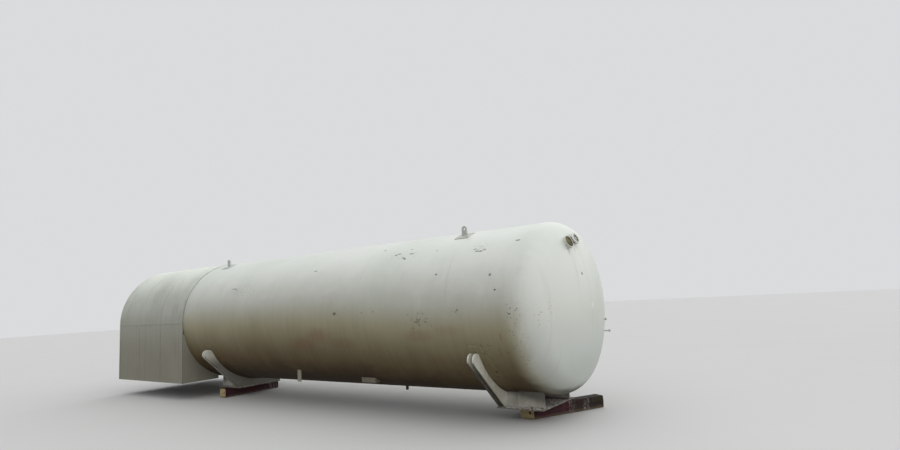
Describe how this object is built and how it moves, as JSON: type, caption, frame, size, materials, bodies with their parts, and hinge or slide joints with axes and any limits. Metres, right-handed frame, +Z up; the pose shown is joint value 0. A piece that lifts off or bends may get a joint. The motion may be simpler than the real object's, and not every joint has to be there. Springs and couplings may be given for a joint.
{
  "type": "horizontal_pressure_tank",
  "caption": "White horizontal pressure tank with dished heads, V-shaped saddles on timber sleepers, lifting lugs and a grey sheet cabinet round its rear end.",
  "frame": {"origin": "On the ground under the middle of the tank's outer box, midway between the cabinet's end and the free head's apex.", "axes": "+X runs along the tank toward the free dished head, +Y across it away from the picture's near side, +Z up."},
  "size_m": [13.5262, 3.0496, 3.485],
  "materials": {
    "shell_paint": "weathered",
    "head_paint": "weathered",
    "lug_paint": "weathered",
    "saddle_paint": "weathered",
    "base_paint": "weathered",
    "fitting_paint": "weathered",
    "cabinet_paint": "weathered",
    "port_metal": "tarnished",
    "dark_iron": "rusty",
    "old_timber": "stained"
  },
  "bodies": {
    "root": {"shell_course_1": "shell_paint", "shell_course_2": "shell_paint", "shell_course_3": "shell_paint", "shell_course_4": "shell_paint", "shell_course_5": "shell_paint", "shell_course_6": "shell_paint", "front_head": "head_paint", "rear_head": "head_paint", "relief_port_neck": "fitting_paint", "relief_port_plate": "port_metal", "pump_port_neck": "dark_iron", "pump_port_cover": "fitting_paint", "head_nipple_upper": "fitting_paint", "head_nipple_lower": "fitting_paint", "lifting_lug_front_near": "lug_paint", "lifting_lug_front_far": "lug_paint", "lifting_lug_rear_near": "lug_paint", "lifting_lug_rear_far": "lug_paint", "front_saddle_pad": "saddle_paint", "front_saddle_web_outer": "saddle_paint", "front_saddle_web_inner": "saddle_paint", "front_saddle_side_near": "base_paint", "front_saddle_side_far": "base_paint", "front_saddle_base": "base_paint", "rear_saddle_pad": "saddle_paint", "rear_saddle_web_outer": "saddle_paint", "rear_saddle_web_inner": "saddle_paint", "rear_saddle_side_near": "base_paint", "rear_saddle_side_far": "base_paint", "rear_saddle_base": "base_paint", "front_sleeper": "old_timber", "rear_sleeper": "old_timber", "belly_bracket_near": "fitting_paint", "belly_bracket_far": "fitting_paint", "belly_box": "fitting_paint", "drain_stub": "dark_iron", "cabinet_roof": "cabinet_paint", "cabinet_side_near": "cabinet_paint", "cabinet_side_far": "cabinet_paint", "cabinet_corner_near": "cabinet_paint", "cabinet_corner_far": "cabinet_paint", "cabinet_end_frame": "cabinet_paint", "cabinet_door_near": "cabinet_paint", "cabinet_door_far": "cabinet_paint"}
  },
  "joints": []
}
